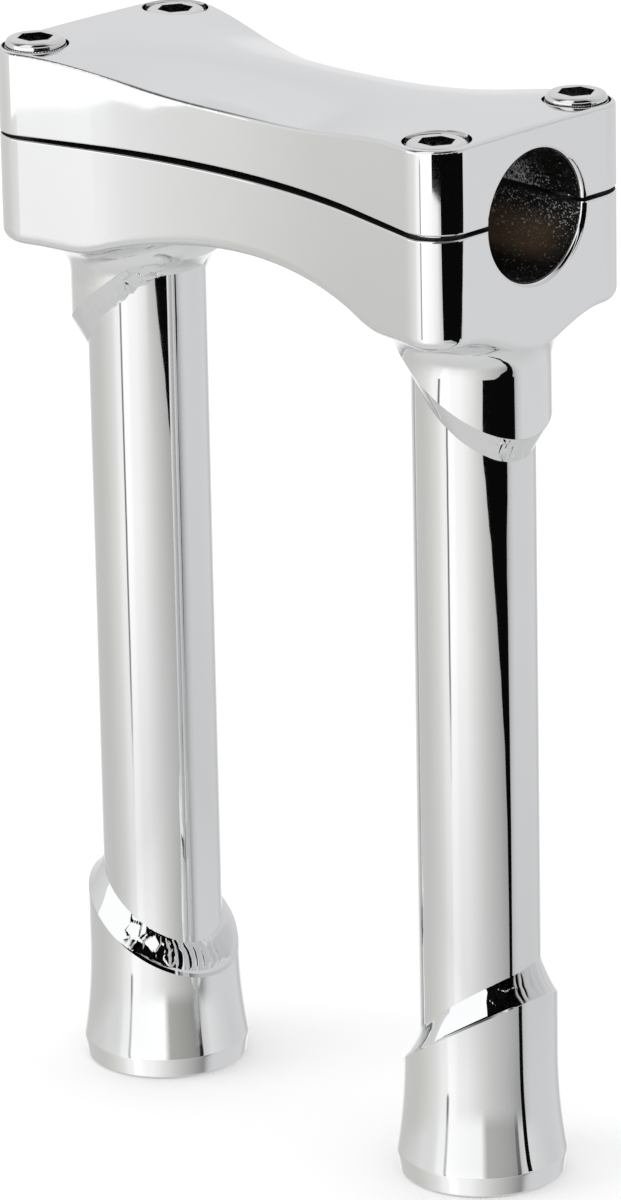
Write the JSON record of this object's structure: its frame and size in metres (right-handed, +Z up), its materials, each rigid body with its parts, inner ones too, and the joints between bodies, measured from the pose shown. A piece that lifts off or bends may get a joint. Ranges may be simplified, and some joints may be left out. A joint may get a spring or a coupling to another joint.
{
  "type": "motorcycle handlebar riser",
  "caption": "Tall chromed handlebar riser: a waisted split clamp for a round bar, bolted through counterbored socket screws, on paired tubes welded to flared feet.",
  "frame": {"origin": "on the ground plane, midway between the two feet, which is the bottom centre of the bounding box", "axes": "+X along the handlebar from the left leg to the right leg, +Y towards the back, +Z up along the legs"},
  "size_m": [0.123, 0.053, 0.2165],
  "materials": {
    "clamp_chrome": "polished chrome over a casting, as-cast and darker inside the bar bore",
    "tube_chrome": "polished chrome",
    "base_chrome": "polished chrome",
    "weld_chrome": "chromed weld bead with fine ripples",
    "screw_chrome": "chromed steel with a knurled head"
  },
  "bodies": {
    "root": {"top_clamp": "clamp_chrome", "lower_clamp": "clamp_chrome", "clamp_screw_front_left": "screw_chrome", "clamp_screw_front_right": "screw_chrome", "clamp_screw_back_left": "screw_chrome", "clamp_screw_back_right": "screw_chrome", "riser_tube_left": "tube_chrome", "riser_tube_right": "tube_chrome", "base_left": "base_chrome", "base_right": "base_chrome", "clamp_weld_left": "weld_chrome", "clamp_weld_right": "weld_chrome", "base_weld_left": "weld_chrome", "base_weld_right": "weld_chrome"}
  },
  "joints": []
}
